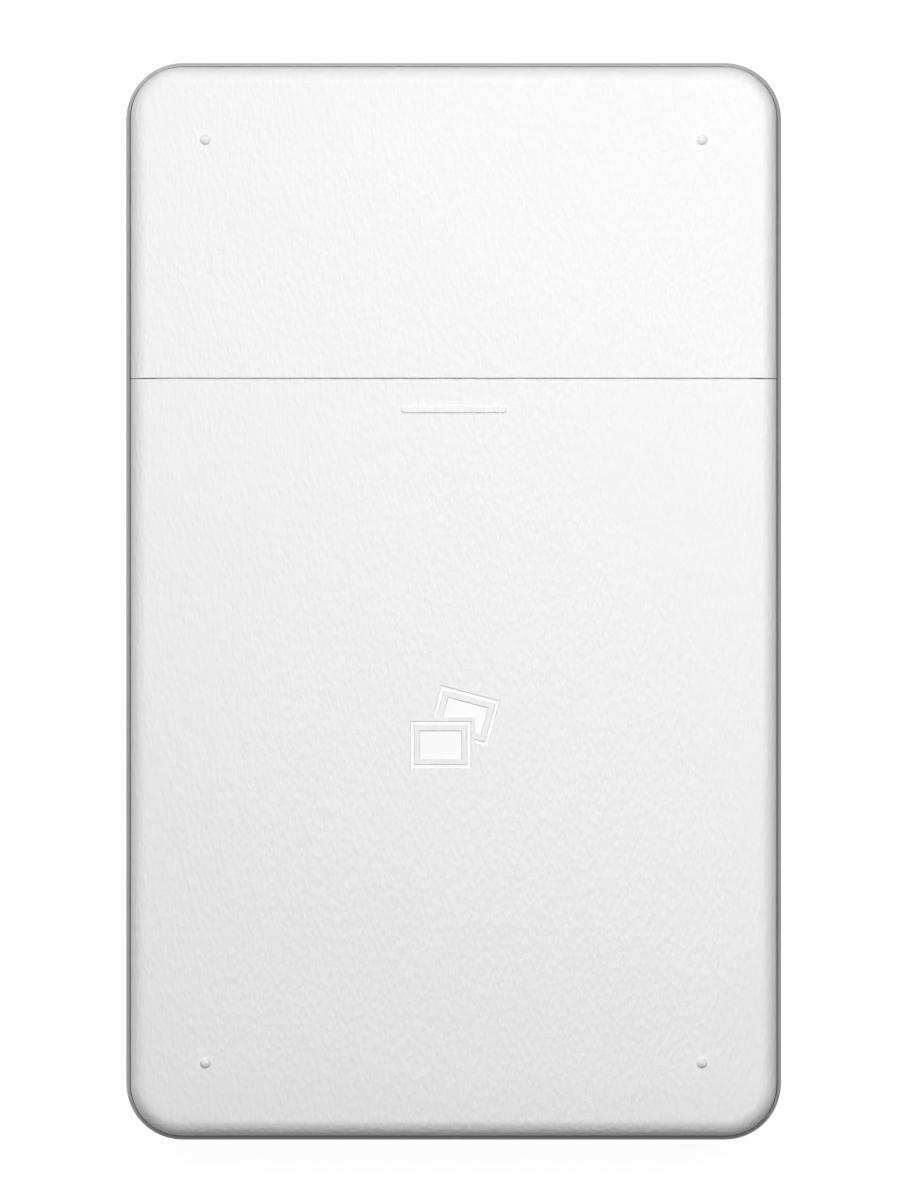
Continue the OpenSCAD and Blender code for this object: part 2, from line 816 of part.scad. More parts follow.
module chassis() {
    color("dimgray")
        difference() {
            union() {
                // Tray floor, wide over the electronics and narrow between the gears
                block(-cover_inner_x + 0.4, cover_inner_x - 0.4, -end_y + 5.2, plate_edge_y, ledge_z, tray_z);
                block(-frame_out, frame_out, plate_edge_y - eps, gate_y + gate_t, ledge_z, tray_z);
                both_sides() {
                    block(rail_x, rail_x + rail_w, rail_y0, gate_y, tray_z - eps, tray_z + rail_h);
                    hinge_arm();
                    catch_post();
                    along_x(frame_x, frame_out)
                        side_outline();
                    // Foot on the end boss of the front shell
                    block(end_boss_x - 2.2, frame_x + eps, frame_y1 - 2, end_boss_y + end_boss_r,
                        ledge_z, tray_z - 0.2);
                }
                block(-stop_x, stop_x, stop_y, stop_y + stop_t, tray_z - eps, tray_z + stop_h);
                tray_ribs();
                // Gate that lets one sheet through
                block(-frame_x - eps, frame_x + eps, gate_y, gate_y + gate_t, tray_z + gate_slot, tab_z - 1);
                lower_guide(gate_y, platen_c[0] - platen_r - 0.7);
                lower_guide(platen_c[0] + platen_r + 0.7, exit_c[0] - exit_r - 0.7);
                lower_guide(exit_c[0] + exit_r + 0.7, end_y - 1.8);
                // Upper cross bar between the head and the exit rollers
                block(-frame_x - eps, frame_x + eps, head_y1 + 2.2, head_y1 + 4.2, tray_z + 2.6, tab_z);
                flag_ears();
            }
            // Window for the pick tyre
            block(-pick_w / 2 - 0.8, pick_w / 2 + 0.8, pick_c[0] - pick_r - 0.6, pick_c[0] + pick_r + 0.6,
                0, tray_z + 1);
            both_sides()
                for (y = [boss_low_y, boss_high_y])
                    translate([boss_x, y, 0])
                        cylinder(r = screw_r + 0.1, h = tray_z + 1);
            both_sides()
                translate([end_boss_x, end_boss_y, 0]) {
                    cylinder(r = screw_r + 0.1, h = tray_z + 1);
                    translate([0, 0, foot_z])
                        cylinder(r = screw_head_r + 0.2, h = big);
                }
            both_sides()
                rod_x(hinge_pin_r, arm_x - 1, arm_x + arm_w + 1, [hinge_y, hinge_z]);
            shaft_holes();
            flag_slot();
            both_sides()
                translate([tab_screw_x, tab_screw_y, tab_z - 3])
                    cylinder(r = screw_r, h = 4);
            // The head flex comes out over the right side wall
            block(frame_x - 1, frame_out + 1, flex_y0 - 0.3, flex_y1 + 0.3,
                head_plate_z + head_plate_t - 0.2, big);
            // Exit path of the sheet through the wall ends
            block(-paper_w / 2 - 0.6, paper_w / 2 + 0.6, exit_c[0] + 1, big, tray_z + 0.3,
                tray_z + exit_slot_h);
        }
}

module shaft_holes() {
    rod_x(bush_r, -big, big, platen_c);
    rod_x(shaft_r + run_gap, -big, big, pick_c);
    rod_x(shaft_r + run_gap, -big, big, exit_c);
    rod_x(pinch_shaft_r + run_gap, -big, big, pinch_c);
    rod_x(head_pin_r + run_gap, -big, big, head_pin_c);
    rod_x(motor_boss_r, -big, -10, motor_c);
    for (c = [drive_c, pick_idler_c, exit_idler_c])
        rod_x(post_r, -big, -frame_x, c);
}

// Ears for the paper flag, under the guide between the platen and the exit rollers
flag_x = 10;
flag_w = 1.6;
flag_pin_r = 0.4;
flag_c = [(platen_c[0] + platen_r + exit_c[0] - exit_r) / 2, tray_z - 2.2];
module flag_ears() {
    for (x = [flag_x - flag_w / 2 - 1.5, flag_x + flag_w / 2 + 0.3])
        along_x(x, x + 1.2)
            difference() {
                union() {
                    translate(flag_c)
                        circle(1.1);
                    translate([flag_c[0] - 1.1, flag_c[1]])
                        square([2.2, tray_z - 0.5 - flag_c[1]]);
                }
                translate(flag_c)
                    circle(flag_pin_r + run_gap);
            }
}

module flag_slot() {
    block(flag_x - flag_w / 2 - 0.3, flag_x + flag_w / 2 + 0.3, flag_c[0] - 1.6, flag_c[0] + 2.2,
        tray_z - 1, tray_z + 1);
}

module hinge_pins() {
    color("silver")
        both_sides()
            rod_x(hinge_pin_r, arm_x, cover_inner_x - 0.6, [hinge_y, hinge_z]);
}

// ---- Electronics ----

module battery() {
    color("gainsboro") {
        translate([battery_x0 + battery_w / 2, 0, 0])
            along_y(battery_y0 + 2, battery_y0 + battery_l)
                rounded_profile(battery_w, battery_z, battery_z + battery_t, 1.2, 1.2);
        // Sealed end with the cell's protection board
        block(battery_x0 + 2, battery_x0 + battery_w - 2, battery_y0, battery_y0 + 2 + eps, battery_z + 1.4,
            battery_z + battery_t - 1.4);
    }
}

module circuit_board() {
    color("darkgreen")
        board_outline();
}

// L-shaped board: a main part beside the battery and a tongue behind the buttons
module board_outline() {
    translate([0, 0, board_z])
        linear_extrude(board_t)
            difference() {
                union() {
                    translate([board_x0, board_y0])
                        square([board_x1 - board_x0, board_y1 - board_y0]);
                    translate([tongue_x0, board_y0])
                        square([board_x0 - tongue_x0 + 1, tongue_l]);
                }
                translate([boss_x, boss_low_y])
                    circle(boss_r + 0.3);
            }
}

module board_chips() {
    chips = [[14, 6, 8, 8, 1.2], [14, 18, 6, 5, 1], [22, 10, 5, 7, 1.1], [14, 27, 10, 10, 1.3],
        [15, 41, 4, 4, 2.4], [21, 41, 4, 4, 2.4], [-13, 1.5, 1.6, 0.9, 0.7], [-9, 1.5, 1.6, 0.9, 0.7]];
    color("black")
        for (c = chips)
            if (c[1] + c[3] < board_y1 - board_y0)
                translate([c[0], board_y0 + c[1] + (c[0] < 0 ? 0 : 3), board_top])
                    cube([c[2], c[3], c[4]]);
}

module charging_port() {
    color("silver")
        difference() {
            along_y(port_y0, port_y0 + port_l)
                port_outline(0);
            along_y(port_y0 - 1, port_y0 + port_l - port_shell)
                port_outline(-port_shell);
        }
}

// Insulator with the contacts
module port_tongue() {
    y1 = port_y0 + port_l - port_shell;
    color("black") {
        block(port_x - port_w / 2 + 1.8, port_x + port_w / 2 - 1.8, port_y0 + 1, y1, board_top + 0.9,
            board_top + 1.4);
        along_y(y1 - 0.8, y1)
            port_outline(-port_shell - eps);
    }
}

// Tact switches behind the power and the reset buttons
module switches() {
    color("black") {
        block(button_x - 2.2, button_x + 2.2, switch_y, switch_y + switch_d, board_top, board_top + 3.2);
        block(reset_x - 1.7, reset_x + 1.7, switch_y, switch_y + switch_d, board_top, board_top + 3.2);
    }
}
switch_y = board_y0 + 0.6;

module light_guides() {
    color("white")
        for (x = light_xs) {
            translate([x, -end_y, button_z])
                rotate([-90, 0, 0])
                    cylinder(r = light_r, h = board_y0 + end_y + 2.2);
            block(x - 0.6, x + 0.6, board_y0 + 1.4, board_y0 + 2.4, board_top + 0.75, button_z + 0.5);
        }
}

flex_t = 0.2;
flex_x = frame_out + 2;
flex_y0 = head_pin_c[0] + 2.2;
flex_y1 = flex_y0 + 7;
flex_top = tab_z - 0.2;
flex_low = 4.8;
flex_band = 4;
connector_y1 = board_y1 - 0.2;
connector_l = 3.3;
module head_flex() {
    color("peru") {
        block(head_x - 7.4, flex_x + eps, flex_y0, flex_y1, flex_top - flex_t, flex_top);
        block(flex_x, flex_x + flex_t, flex_y0, flex_y1, flex_low, flex_top);
        block(flex_x, flex_x + flex_t, connector_y1 - connector_l, flex_y1, flex_low, flex_low + flex_band);
    }
}

module flex_connector() {
    color("ivory") {
        block(flex_x - 2, flex_x, connector_y1 - connector_l, connector_y1, board_top, flex_low + flex_band);
        block(board_x1 - 2, flex_x - 2 + eps, connector_y1 - connector_l, connector_y1, board_top,
            board_top + 1.4);
    }
}

// ---- Drive ----

module motor() {
    x0 = -frame_x;
    color("silver") {
        rod_x(motor_d / 2, x0, x0 + motor_l, motor_c);
        rod_x(motor_boss_r, x0 + motor_l - eps, x0 + motor_l + 0.8, motor_c);
    }
}

module motor_shaft() {
    color("silver")
        rod_x(motor_shaft_r, -layer_a1, -frame_x - 0.05, motor_c);
}

module motor_pinion() {
    color("gold")
        spur(motor_n, motor_turn, motor_c, layer_a0, layer_a1, motor_shaft_r);
}

module drive_gear() {
    bore = post_r + run_gap;
    color("white") {
        spur(drive_small_n, drive_small_turn, drive_c, layer_b0, layer_a0 + eps, bore);
        spur(drive_big_n, drive_small_turn, drive_c, layer_a0, layer_a1, bore);
    }
}

module platen_shaft() {
    color("silver")
        rod_x(platen_shaft_r, -layer_b1 - 0.1, frame_out + 1.2, platen_c);
}

module platen_rubber() {
    color("black")
        tube_x(platen_r, platen_shaft_r, -frame_x + 0.9, frame_x - 0.9, platen_c);
}

module platen_gear() {
    color("white")
        spur(platen_n, platen_turn, platen_c, layer_b0, layer_b1, platen_shaft_r);
}

module exit_idler() {
    color("white")
        spur(exit_idler_n, exit_idler_turn, exit_idler_c, layer_b0, layer_b1, post_r + run_gap);
}

module exit_shaft() {
    color("silver")
        rod_x(shaft_r, -layer_b1 - 0.1, frame_out + 0.8, exit_c);
}

module exit_tyres() {
    color("black")
        for (x = [-18, -exit_l / 2, 18 - exit_l])
            tube_x(exit_r, shaft_r, x, x + exit_l, exit_c);
}

module exit_gear() {
    color("white")
        spur(exit_n, exit_turn, exit_c, layer_b0, layer_b1, shaft_r);
}

module pick_idler() {
    color("white")
        spur(pick_idler_n, pick_idler_turn, pick_idler_c, layer_b0, layer_b1, post_r + run_gap);
}

module pick_shaft() {
    color("silver")
        rod_x(shaft_r, -layer_b1 - 0.1, frame_out + 0.8, pick_c);
}

module pick_tyre() {
    color("black")
        tube_x(pick_r, shaft_r, -pick_w / 2, pick_w / 2, pick_c);
}

module pick_gear() {
    color("white")
        spur(pick_n, pick_turn, pick_c, layer_b0, layer_b1, shaft_r);
}

module pinch_shaft() {
    color("silver")
        rod_x(pinch_shaft_r, -frame_out - 0.1, frame_out + 0.1, pinch_c);
}

module pinch_rollers() {
    color("ivory")
        for (x = [-17, -pinch_l / 2, 17 - pinch_l])
            tube_x(pinch_r, pinch_shaft_r, x, x + pinch_l, pinch_c);
}

module bushings() {
    color("goldenrod")
        both_sides() {
            tube_x(bush_r, platen_shaft_r + run_gap, frame_x, frame_out, platen_c);
            tube_x(bush_r + 0.6, platen_shaft_r + run_gap, frame_x - 0.5, frame_x, platen_c);
        }
}

module gear_posts() {
    color("silver")
        for (c = [drive_c, pick_idler_c, exit_idler_c])
            rod_x(post_r, -plate_x0 - gear_plate_t, -frame_x - 0.3, c);
}

// Cover plate over the gears
module gear_plate() {
    y0 = pick_idler_c[0] - 2.4;
    y1 = exit_idler_c[0] + 2.4;
    color("silver")
        difference() {
            union() {
                along_x(-plate_x0 - gear_plate_t, -plate_x0)
                    gear_plate_outline(y0, y1);
                // Pillar to the side wall
                rod_x(1, -plate_x0 - eps, -frame_out, plate_pillar_c);
            }
            for (c = [drive_c, pick_idler_c, exit_idler_c])
                rod_x(post_r, -big, -plate_x0 + 1, c);
        }
}
plate_pillar_c = [exit_idler_c[0] + 1.2, exit_idler_c[1] + 6.2];

module gear_plate_outline(y0, y1) {
    translate([y0, exit_idler_c[1] - 2])
        square([y1 - y0, pick_idler_c[1] + 4 - exit_idler_c[1]]);
    translate(plate_pillar_c)
        circle(1.8);
    translate([plate_pillar_c[0] - 1.8, exit_idler_c[1]])
        square([3.6, plate_pillar_c[1] - exit_idler_c[1]]);
}

// ---- Head ----

module head_bracket() {
    color("silver")
        difference() {
            union() {
                block(-head_x, head_x, head_y0, head_y1, head_plate_z, head_plate_z + head_plate_t);
                // Ears back to the pivot pin
                both_sides()
                    along_x(head_x - 2.4, head_x) {
                        translate(head_pin_c)
                            circle(1.5);
                        translate([head_pin_c[0], head_plate_z])
                            square([head_y0 - head_pin_c[0] + eps, head_plate_t]);
                    }
            }
            rod_x(head_pin_r, -big, big, head_pin_c);
            // Cooling grooves
            for (i = [0:4])
                block(-head_x + 3, head_x - 12, head_y0 + 1.1 + i * 1.7, head_y0 + 2 + i * 1.7,
                    head_plate_z + head_plate_t - 0.7, big);
        }
}

module print_head() {
    color("ivory")
        block(-head_x + 0.6, head_x - 0.6, platen_c[0] - 3, platen_c[0] + 4, head_z, head_plate_z);
}

module head_pin() {
    color("silver")
        rod_x(head_pin_r, -frame_out, frame_out, head_pin_c);
}

module head_springs() {
    h = roof_z - head_plate_z - head_plate_t;
    color("silver")
        both_sides()
            translate([spring_x, platen_c[0], head_plate_z + head_plate_t])
                coil(head_spring_r, 0.2, h, 5);
}

module plate_springs() {
    h = roof_z - plate_z - plate_t;
    color("silver")
        both_sides()
            translate([spring_x, plate_spring_y, plate_z + plate_t])
                coil(plate_spring_r, 0.15, h, 3);
}

module pressure_plate() {
    color("dimgray") {
        difference() {
            block(-plate_x, plate_x, plate_y0, plate_y1, plate_z, plate_z + plate_t);
            for (y = [plate_y0 + 11, plate_y0 + 21])
                translate([0, y, plate_z - 1])
                    linear_extrude(plate_t + 2)
                        pill(14, 4);
            both_sides()
                translate([plate_x - 3, plate_y0 + 24, plate_z - 1])
                    rotate(90)
                        linear_extrude(plate_t + 2)
                            pill(20, 2.4);
        }
        both_sides() {
            along_x(plate_x - 1.4, plate_x) {
                translate([plate_pin_y, plate_pin_z])
                    circle(plate_pin_r + 0.15);
                translate([plate_pin_y - 0.6, plate_z])
                    square([2.6, plate_t]);
                translate([plate_pin_y - 0.6, plate_z])
                    square([1.2, plate_pin_z - plate_z]);
            }
            rod_x(plate_pin_r, plate_x - eps, plate_x + plate_lug_gap + plate_lug_w - 0.2,
                [plate_pin_y, plate_pin_z]);
        }
    }
}

module friction_pad() {
    color("saddlebrown")
        block(-pick_w / 2, pick_w / 2, pick_c[0] - 4, plate_y1 - 0.6, plate_z - pad_t, plate_z);
}

// ---- Small pieces ----

module power_button() {
    color("silver") {
        along_y(-end_y - button_proud, -end_y + wall + 0.1)
            translate([button_x, button_z])
                pill(button_l, button_h);
        // Flange that keeps the button in
        along_y(-end_y + wall + 0.1 - eps, -end_y + wall + 0.6)
            translate([button_x, button_z])
                pill(button_l + 1.6, button_h + 1.1);
        block(button_x - 0.9, button_x + 0.9, -end_y + wall + 0.6 - eps, switch_y - 0.4, button_z - 0.6,
            button_z + 0.6);
    }
}

module reset_button() {
    color("ivory")
        translate([reset_x, switch_y - 0.3, board_top + 1.8])
            rotate([90, 0, 0])
                cylinder(r = 0.7, h = 0.5);
}

module screw_down(x, y, z, l) {
    translate([x, y, z - l])
        cylinder(r = screw_r, h = l);
    translate([x, y, z])
        difference() {
            cylinder(r = screw_head_r, h = screw_head_h);
            translate([-0.8, -0.16, screw_head_h - 0.3])
                cube([1.6, 0.32, 1]);
            translate([-0.16, -0.8, screw_head_h - 0.3])
                cube([0.32, 1.6, 1]);
        }
}

module chassis_screws() {
    color("silver")
        both_sides() {
            screw_down(boss_x, boss_low_y, tray_z, 6);
            screw_down(boss_x, boss_high_y, tray_z, 6);
            screw_down(end_boss_x, end_boss_y, foot_z, 5);
        }
}

module panel_screws() {
    color("silver")
        both_sides()
            screw_down(tab_screw_x, tab_screw_y, tab_z + tab_t, 3);
}

module paper_flag() {
    color("black") {
        along_x(flag_x - flag_w / 2, flag_x + flag_w / 2) {
            translate(flag_c)
                circle(0.9);
            // Finger that stands in the sheet's path
            translate([flag_c[0] - 0.5, flag_c[1]])
                square([1, tray_z + 1.5 - flag_c[1]]);
            // Shutter in the sensor's fork
            translate([flag_c[0] - 0.5, flag_c[1] - 2.6])
                square([1, 2.6]);
        }
        rod_x(flag_pin_r, flag_x - flag_w / 2 - 1.4, flag_x + flag_w / 2 + 1.4, flag_c);
    }
}

// Forked light sensor under the flag
module paper_sensor() {
    color("black")
        difference() {
            block(flag_x - 3, flag_x + 3, flag_c[0] - 1.4, flag_c[0] + 2.2, wall, flag_c[1] - 1.6);
            block(flag_x - 1.2, flag_x + 1.2, flag_c[0] - 2, flag_c[0] + 3, flag_c[1] - 3.2, big);
        }
}

front_shell();
mid_band();
back_panel();
paper_cover();
chassis();
hinge_pins();
battery();
circuit_board();
board_chips();
charging_port();
port_tongue();
switches();
light_guides();
head_flex();
flex_connector();
motor();
gear_plate();
gear_posts();
bushings();
chassis_screws();
panel_screws();
paper_sensor();
plate_springs();
pressure_plate();
friction_pad();
power_button();
reset_button();
motor_shaft();
motor_pinion();
drive_gear();
platen_shaft();
platen_rubber();
platen_gear();
exit_idler();
exit_shaft();
exit_tyres();
exit_gear();
pick_idler();
pick_shaft();
pick_tyre();
pick_gear();
pinch_shaft();
pinch_rollers();
head_bracket();
print_head();
head_pin();
head_springs();
paper_flag();
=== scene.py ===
"""Looks of the compact photo printer.

Finishes for every piece, the pictogram sunk into the cover, the groove round the band, the springs,
the floor, the lights and the camera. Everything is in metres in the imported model's frame: +X right,
+Y towards the print's exit, +Z out of the cover.
"""

import math

import bmesh
import bpy
from mathutils import Matrix, Vector


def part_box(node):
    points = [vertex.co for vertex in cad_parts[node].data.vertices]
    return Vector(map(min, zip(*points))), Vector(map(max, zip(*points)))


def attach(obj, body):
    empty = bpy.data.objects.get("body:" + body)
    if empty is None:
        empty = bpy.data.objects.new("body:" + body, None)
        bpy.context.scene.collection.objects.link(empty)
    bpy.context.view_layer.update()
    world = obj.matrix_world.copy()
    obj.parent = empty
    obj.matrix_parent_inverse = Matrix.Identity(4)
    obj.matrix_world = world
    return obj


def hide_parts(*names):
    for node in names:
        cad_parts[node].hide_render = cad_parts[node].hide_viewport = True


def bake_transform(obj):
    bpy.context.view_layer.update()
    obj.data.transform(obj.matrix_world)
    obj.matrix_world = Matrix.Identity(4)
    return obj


MM = 0.001

# The photograph's frame: 900 x 1200 px at 9 px to a millimetre on the cover's face
FRAME_H_PX = 1200
PX_PER_MM = 9.0
CENTRE_OFF_PX = (3.67, -1.3)
LENS_MM = 800
SENSOR_MM = 36
CLIP_NEAR = 0.01
CLIP_FAR = 20

FLOOR_HALF = 3.0
FLOOR_Z = -0.05 * MM
FLOOR_GLOW = 0.92
FLOOR_TINTS = ((0.24, 0.24, 0.24), (0.26, 0.26, 0.26))

# Soft lights as (name, azimuth from +Y towards +X, elevation, watts), LIGHT_FAR away
LIGHTS = (("key", 15, 75, 0.817), ("right", 60, 60, 0.396), ("low_left", -45, 30, 0.144))
LIGHT_FAR = 0.35
LIGHT_SIZE = 0.25
# The room's glows as (azimuth, elevation, power of the cosine, strength): from the left, from the
# hinge end, and off the floor
GLOWS = ((-60, 0, 1, 0.554), (180, 0, 8, 0.277), (0, -90, 1, 0.8))

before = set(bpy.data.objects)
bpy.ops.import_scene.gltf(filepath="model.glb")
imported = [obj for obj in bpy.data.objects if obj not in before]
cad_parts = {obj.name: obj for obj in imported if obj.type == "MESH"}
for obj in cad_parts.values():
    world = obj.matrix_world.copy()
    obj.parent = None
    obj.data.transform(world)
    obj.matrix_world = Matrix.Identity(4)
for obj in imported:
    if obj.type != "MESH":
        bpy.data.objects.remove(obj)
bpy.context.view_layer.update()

LEVEL_COSINE = 0.999


def face_height():
    """Height of the cover's flat face, which is the largest of its level faces."""
    areas = {}
    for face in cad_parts["paper_cover"].data.polygons:
        if face.normal.z > LEVEL_COSINE:
            z = round(face.center.z, 6)
            areas[z] = areas.get(z, 0) + face.area
    return max(areas, key=areas.get)


TOP_Z = face_height()


# ---- Node helpers ----


def new_material(name):
    """A node material with one shader; returns the material, its node tree and the shader."""
    mat = bpy.data.materials.new(name)
    mat.use_nodes = True
    tree = mat.node_tree
    tree.nodes.clear()
    out = tree.nodes.new("ShaderNodeOutputMaterial")
    shader = tree.nodes.new("ShaderNodeBsdfPrincipled")
    tree.links.new(shader.outputs["BSDF"], out.inputs["Surface"])
    return mat, tree, shader


def object_coords(tree, cell, stretch=(1, 1, 1), turn=0.0):
    """Object coordinates in units of `cell` metres, drawn out where stretch is below 1."""
    coords = tree.nodes.new("ShaderNodeTexCoord")
    mapping = tree.nodes.new("ShaderNodeMapping")
    mapping.inputs["Scale"].default_value = [s / cell for s in stretch]
    mapping.inputs["Rotation"].default_value = (0, 0, turn)
    tree.links.new(coords.outputs["Object"], mapping.inputs["Vector"])
    return mapping.outputs["Vector"]


def noise(tree, vector, detail=2.0, rough=0.5, distortion=0.0):
    node = tree.nodes.new("ShaderNodeTexNoise")
    node.inputs["Scale"].default_value = 1.0
    node.inputs["Detail"].default_value = detail
    node.inputs["Roughness"].default_value = rough
    node.inputs["Distortion"].default_value = distortion
    tree.links.new(vector, node.inputs["Vector"])
    return node.outputs["Fac"]


def soft_cells(tree, vector):
    node = tree.nodes.new("ShaderNodeTexVoronoi")
    node.feature = "SMOOTH_F1"
    node.inputs["Scale"].default_value = 1.0
    node.inputs["Smoothness"].default_value = 0.35
    tree.links.new(vector, node.inputs["Vector"])
    return node.outputs["Distance"]


def remap(tree, value, low, high, to_low, to_high):
    node = tree.nodes.new("ShaderNodeMapRange")
    node.inputs["From Min"].default_value = low
    node.inputs["From Max"].default_value = high
    node.inputs["To Min"].default_value = to_low
    node.inputs["To Max"].default_value = to_high
    tree.links.new(value, node.inputs["Value"])
    return node.outputs["Result"]


def combine(tree, op, a, b):
    """Result of a Math node; a and b are sockets or plain numbers."""
    node = tree.nodes.new("ShaderNodeMath")
    node.operation = op
    for socket, value in zip(node.inputs, (a, b)):
        if isinstance(value, (int, float)):
            socket.default_value = value
        else:
            tree.links.new(value, socket)
    return node.outputs["Value"]


def colour_ramp(tree, value, low, high):
    """Blends from colour low to colour high as the value goes from 0 to 1."""
    node = tree.nodes.new("ShaderNodeMix")
    node.data_type = "RGBA"
    node.inputs["A"].default_value = (*low, 1)
    node.inputs["B"].default_value = (*high, 1)
    tree.links.new(value, node.inputs["Factor"])
    return node.outputs["Result"]


def bump(tree, shader, height, distance, strength=1.0):
    node = tree.nodes.new("ShaderNodeBump")
    node.inputs["Distance"].default_value = distance
    node.inputs["Strength"].default_value = strength
    tree.links.new(height, node.inputs["Height"])
    tree.links.new(node.outputs["Normal"], shader.inputs["Normal"])


def shade(colour, factor):
    return tuple(min(1.0, c * factor) for c in colour)


# ---- Finishes ----

WHITE = (0.80, 0.80, 0.80)
SATIN = (0.59, 0.594, 0.60)
STEEL = (0.55, 0.55, 0.56)
ACETAL = (0.72, 0.71, 0.68)
IVORY = (0.66, 0.62, 0.50)
BLACK = (0.018, 0.018, 0.02)
RUBBER = (0.02, 0.02, 0.022)


def grained_white(name):
    """White moulding with a fine leather-like grain, which is drawn out along the printer."""
    mat, tree, shader = new_material(name)
    pebbles = soft_cells(tree, object_coords(tree, 0.46 * MM, (1, 0.42, 1)))
    fine = noise(tree, object_coords(tree, 0.25 * MM, (1, 0.38, 1)), 2.0, 0.55, 0.4)
    swell = noise(tree, object_coords(tree, 1.0 * MM, (1, 0.4, 1)), 1.0)
    height = 0.0
    for layer, share in ((pebbles, 0.6), (fine, 0.55), (swell, 0.35)):
        height = combine(tree, "ADD", combine(tree, "MULTIPLY", layer, share), height)
    bump(tree, shader, height, 0.115 * MM, 0.8)
    patch = noise(tree, object_coords(tree, 9 * MM), 3.0)
    tint = colour_ramp(tree, patch, shade(WHITE, 0.985), shade(WHITE, 1.01))
    tree.links.new(tint, shader.inputs["Base Color"])
    tree.links.new(remap(tree, fine, 0.3, 0.7, 0.42, 0.54), shader.inputs["Roughness"])
    return mat


def moulded(
    name, colour, rough=0.45, cell=0.18 * MM, depth=0.012 * MM, coat=0.0, tones=(0.92, 1.06)
):
    """Moulded plastic with a spark-eroded texture; tones are its darkest and palest patch."""
    mat, tree, shader = new_material(name)
    grit = noise(tree, object_coords(tree, cell), 3.0, 0.6)
    patch = noise(tree, object_coords(tree, 6 * MM), 2.0)
    bump(tree, shader, grit, depth, 0.6)
    tint = colour_ramp(tree, patch, shade(colour, tones[0]), shade(colour, tones[1]))
    tree.links.new(tint, shader.inputs["Base Color"])
    roughness = remap(tree, grit, 0.3, 0.7, rough - 0.06, rough + 0.08)
    tree.links.new(roughness, shader.inputs["Roughness"])
    shader.inputs["Coat Weight"].default_value = coat
    return mat


def metal(
    name, colour, rough=0.3, brushed=(1, 1, 1), cell=0.25 * MM, depth=0.004 * MM, metallic=1.0
):
    """Metal or metallic paint; brushed draws the marks out along an axis."""
    mat, tree, shader = new_material(name)
    marks = noise(tree, object_coords(tree, cell, brushed), 3.0, 0.65)
    stain = noise(tree, object_coords(tree, 5 * MM), 3.0)
    bump(tree, shader, marks, depth, 0.5)
    tint = colour_ramp(tree, stain, shade(colour, 0.9), shade(colour, 1.05))
    tree.links.new(tint, shader.inputs["Base Color"])
    roughness = remap(tree, marks, 0.3, 0.7, rough - 0.07, rough + 0.09)
    tree.links.new(roughness, shader.inputs["Roughness"])
    shader.inputs["Metallic"].default_value = metallic
    return mat


def rubber(name, knurl=False):
    """Matt rubber, ground or with fine cross ribs."""
    mat, tree, shader = new_material(name)
    grit = noise(tree, object_coords(tree, 0.3 * MM), 4.0, 0.65)
    height = grit
    if knurl:
        ribs = tree.nodes.new("ShaderNodeTexWave")
        ribs.bands_direction = "X"
        ribs.inputs["Scale"].default_value = 0.35
        tree.links.new(object_coords(tree, 1 * MM), ribs.inputs["Vector"])
        height = combine(tree, "ADD", grit, ribs.outputs["Fac"])
    bump(tree, shader, height, 0.03 * MM, 0.7)
    tint = colour_ramp(tree, grit, RUBBER, shade(RUBBER, 2.2))
    tree.links.new(tint, shader.inputs["Base Color"])
    shader.inputs["Roughness"].default_value = 0.75
    return mat


def solder_mask(name):
    """Green board, with its traces as fine straight bands under the mask."""
    mat, tree, shader = new_material(name)
    bands = []
    for turn, cell in ((0, 0.8 * MM), (math.pi / 2, 1.3 * MM)):
        wave = tree.nodes.new("ShaderNodeTexWave")
        wave.wave_profile = "TRI"
        wave.inputs["Scale"].default_value = 0.3
        wave.inputs["Distortion"].default_value = 0.0
        tree.links.new(object_coords(tree, cell, turn=turn), wave.inputs["Vector"])
        bands.append(wave.outputs["Fac"])
    blocks = noise(tree, object_coords(tree, 5 * MM), 0.0)
    pick = remap(tree, blocks, 0.48, 0.52, 0, 1)
    mix = tree.nodes.new("ShaderNodeMix")
    tree.links.new(pick, mix.inputs["Factor"])
    tree.links.new(bands[0], mix.inputs["A"])
    tree.links.new(bands[1], mix.inputs["B"])
    lines = remap(tree, mix.outputs["Result"], 0.55, 0.62, 0, 1)
    tint = colour_ramp(tree, lines, (0.008, 0.07, 0.03), (0.02, 0.14, 0.06))
    tree.links.new(tint, shader.inputs["Base Color"])
    bump(tree, shader, lines, 0.02 * MM, 0.5)
    shader.inputs["Roughness"].default_value = 0.3
    return mat


def glassy(name, colour):
    """Frosted clear plastic of the light guides."""
    mat, tree, shader = new_material(name)
    grit = noise(tree, object_coords(tree, 0.2 * MM), 2.0)
    bump(tree, shader, grit, 0.01 * MM, 0.5)
    shader.inputs["Base Color"].default_value = (*colour, 1)
    shader.inputs["Transmission Weight"].default_value = 0.6
    shader.inputs["Roughness"].default_value = 0.35
    shader.inputs["IOR"].default_value = 1.5
    return mat


